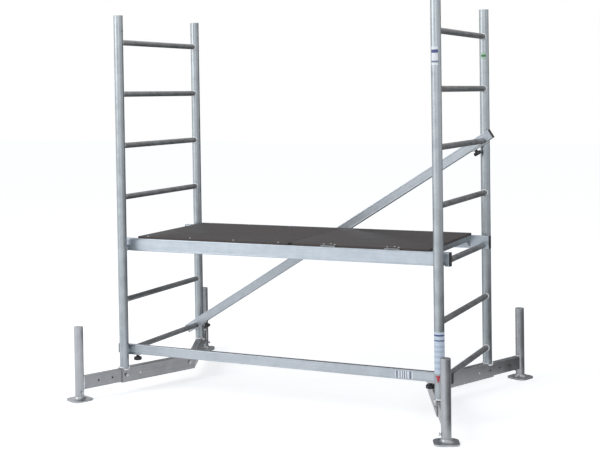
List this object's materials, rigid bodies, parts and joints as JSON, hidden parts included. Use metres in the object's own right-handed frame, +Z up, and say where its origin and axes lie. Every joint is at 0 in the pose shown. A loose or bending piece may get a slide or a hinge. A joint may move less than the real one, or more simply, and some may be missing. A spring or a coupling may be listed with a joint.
{
  "type": "frame scaffold section",
  "caption": "Light aluminium frame scaffold bay: ladder frames, a hooked-on deck with a hatch, clamped low and diagonal braces, and telescopic outrigger arms with adjustable feet.",
  "frame": {"origin": "on the ground, at the middle of the section's footprint", "axes": "+X along the deck from the left frame to the right frame, +Y across the deck from the low brace's side to the diagonal brace's side, +Z up"},
  "size_m": [2.1506, 1.4864, 2.04],
  "materials": {
    "frame_tube": "satin mill-finish extruded aluminium tube",
    "rung_tube": "fine-ribbed extruded aluminium tube, slightly dulled",
    "arm_profile": "dull grey mill-finish extruded aluminium",
    "foot_tube": "dull mill-finish aluminium with cast collar",
    "deck_profile": "bright satin extruded aluminium",
    "brace_profile": "satin extruded aluminium",
    "film_plywood": "dark brown phenolic film on plywood, fine mesh print",
    "black_plastic": "moulded black plastic",
    "zinc_steel": "bright zinc-plated steel",
    "rivet_metal": "plain aluminium rivet heads",
    "nylon": "dark grey nylon"
  },
  "bodies": {
    "frame": {"stile_front_left": "frame_tube", "stile_front_right": "frame_tube", "stile_rear_left": "frame_tube", "stile_rear_right": "frame_tube", "rungs_left": "rung_tube", "rungs_right": "rung_tube", "arm_sleeve_front_left": "arm_profile", "arm_sleeve_front_right": "arm_profile", "arm_sleeve_rear_left": "arm_profile", "arm_sleeve_rear_right": "arm_profile", "apex_bracket_left": "arm_profile", "apex_bracket_right": "arm_profile", "apex_bolts": "zinc_steel", "arm_glides": "nylon", "arm_rivets": "rivet_metal", "low_brace": "brace_profile", "diagonal_brace": "brace_profile", "brace_caps": "black_plastic", "clamp_claws": "zinc_steel", "clamp_nuts": "zinc_steel"},
    "deck": {"deck_rail_front": "deck_profile", "deck_rail_rear": "deck_profile", "deck_rail_caps": "black_plastic", "deck_crossbar_left": "deck_profile", "deck_crossbar_middle": "deck_profile", "deck_crossbar_right": "deck_profile", "deck_gussets": "deck_profile", "deck_panel": "film_plywood", "deck_rivets": "rivet_metal", "hinge_knuckles": "zinc_steel", "hinge_pins": "zinc_steel"},
    "hatch": {"hatch_panel": "film_plywood", "hatch_hinge_flaps": "zinc_steel", "hatch_rivets": "rivet_metal"},
    "arm_front_left": {"inner_arm_front_left": "arm_profile", "foot_sleeve_front_left": "foot_tube"},
    "leg_front_left": {"foot_leg_front_left": "foot_tube"},
    "arm_pin_front_left": {"arm_lock_pin_front_left": "zinc_steel"},
    "foot_pin_front_left": {"foot_lock_pin_front_left": "zinc_steel"},
    "arm_front_right": {"inner_arm_front_right": "arm_profile", "foot_sleeve_front_right": "foot_tube"},
    "leg_front_right": {"foot_leg_front_right": "foot_tube"},
    "arm_pin_front_right": {"arm_lock_pin_front_right": "zinc_steel"},
    "foot_pin_front_right": {"foot_lock_pin_front_right": "zinc_steel"},
    "arm_rear_left": {"inner_arm_rear_left": "arm_profile", "foot_sleeve_rear_left": "foot_tube"},
    "leg_rear_left": {"foot_leg_rear_left": "foot_tube"},
    "arm_pin_rear_left": {"arm_lock_pin_rear_left": "zinc_steel"},
    "foot_pin_rear_left": {"foot_lock_pin_rear_left": "zinc_steel"},
    "arm_rear_right": {"inner_arm_rear_right": "arm_profile", "foot_sleeve_rear_right": "foot_tube"},
    "leg_rear_right": {"foot_leg_rear_right": "foot_tube"},
    "arm_pin_rear_right": {"arm_lock_pin_rear_right": "zinc_steel"},
    "foot_pin_rear_right": {"foot_lock_pin_rear_right": "zinc_steel"},
    "knob_low_left": {"clamp_knob_low_left": "black_plastic"},
    "knob_low_right": {"clamp_knob_low_right": "black_plastic"},
    "knob_diagonal_left": {"clamp_knob_diagonal_left": "black_plastic"},
    "knob_diagonal_right": {"clamp_knob_diagonal_right": "black_plastic"}
  },
  "joints": [
    {"name": "deck_lift", "type": "slide", "parent": "frame", "child": "deck", "axis": [0, 0, 1], "range_m": [0, 0.15]},
    {"name": "hatch_hinge", "type": "hinge", "parent": "deck", "child": "hatch", "pos_m": [0.468, -0.3575, 0.8322], "axis": [1, 0, 0], "range_deg": [0, 95]},
    {"name": "arm_slide_front_left", "type": "slide", "parent": "frame", "child": "arm_front_left", "axis": [-0.3971, -0.9178, 0], "range_m": [-0.175, 0.0875]},
    {"name": "leg_slide_front_left", "type": "slide", "parent": "arm_front_left", "child": "leg_front_left", "axis": [0, 0, -1], "range_m": [0, 0.2]},
    {"name": "arm_pin_slide_front_left", "type": "slide", "parent": "frame", "child": "arm_pin_front_left", "axis": [-0.9178, 0.3971, 0], "range_m": [0, 0.006]},
    {"name": "foot_pin_slide_front_left", "type": "slide", "parent": "arm_front_left", "child": "foot_pin_front_left", "axis": [-0.9178, 0.3971, 0], "range_m": [0, 0.006]},
    {"name": "arm_slide_front_right", "type": "slide", "parent": "frame", "child": "arm_front_right", "axis": [0.3971, -0.9178, 0], "range_m": [-0.175, 0.0875]},
    {"name": "leg_slide_front_right", "type": "slide", "parent": "arm_front_right", "child": "leg_front_right", "axis": [0, 0, -1], "range_m": [0, 0.2]},
    {"name": "arm_pin_slide_front_right", "type": "slide", "parent": "frame", "child": "arm_pin_front_right", "axis": [0.9178, 0.3971, 0], "range_m": [0, 0.006]},
    {"name": "foot_pin_slide_front_right", "type": "slide", "parent": "arm_front_right", "child": "foot_pin_front_right", "axis": [0.9178, 0.3971, 0], "range_m": [0, 0.006]},
    {"name": "arm_slide_rear_left", "type": "slide", "parent": "frame", "child": "arm_rear_left", "axis": [-0.3971, 0.9178, 0], "range_m": [-0.175, 0.0875]},
    {"name": "leg_slide_rear_left", "type": "slide", "parent": "arm_rear_left", "child": "leg_rear_left", "axis": [0, 0, -1], "range_m": [0, 0.2]},
    {"name": "arm_pin_slide_rear_left", "type": "slide", "parent": "frame", "child": "arm_pin_rear_left", "axis": [-0.9178, -0.3971, 0], "range_m": [0, 0.006]},
    {"name": "foot_pin_slide_rear_left", "type": "slide", "parent": "arm_rear_left", "child": "foot_pin_rear_left", "axis": [-0.9178, -0.3971, 0], "range_m": [0, 0.006]},
    {"name": "arm_slide_rear_right", "type": "slide", "parent": "frame", "child": "arm_rear_right", "axis": [0.3971, 0.9178, 0], "range_m": [-0.175, 0.0875]},
    {"name": "leg_slide_rear_right", "type": "slide", "parent": "arm_rear_right", "child": "leg_rear_right", "axis": [0, 0, -1], "range_m": [0, 0.2]},
    {"name": "arm_pin_slide_rear_right", "type": "slide", "parent": "frame", "child": "arm_pin_rear_right", "axis": [0.9178, -0.3971, 0], "range_m": [0, 0.006]},
    {"name": "foot_pin_slide_rear_right", "type": "slide", "parent": "arm_rear_right", "child": "foot_pin_rear_right", "axis": [0.9178, -0.3971, 0], "range_m": [0, 0.006]},
    {"name": "knob_turn_low_left", "type": "hinge", "parent": "frame", "child": "knob_low_left", "pos_m": [-0.833, -0.376, 0.1997], "axis": [0, 0, -1], "continuous": true},
    {"name": "knob_turn_low_right", "type": "hinge", "parent": "frame", "child": "knob_low_right", "pos_m": [0.833, -0.376, 0.1997], "axis": [0, 0, -1], "continuous": true},
    {"name": "knob_turn_diagonal_left", "type": "hinge", "parent": "frame", "child": "knob_diagonal_left", "pos_m": [-0.83432, 0.376, 0.23492], "axis": [0.5304, 0, -0.8477], "continuous": true},
    {"name": "knob_turn_diagonal_right", "type": "hinge", "parent": "frame", "child": "knob_diagonal_right", "pos_m": [0.85056, 0.376, 1.28914], "axis": [0.5304, 0, -0.8477], "continuous": true}
  ]
}
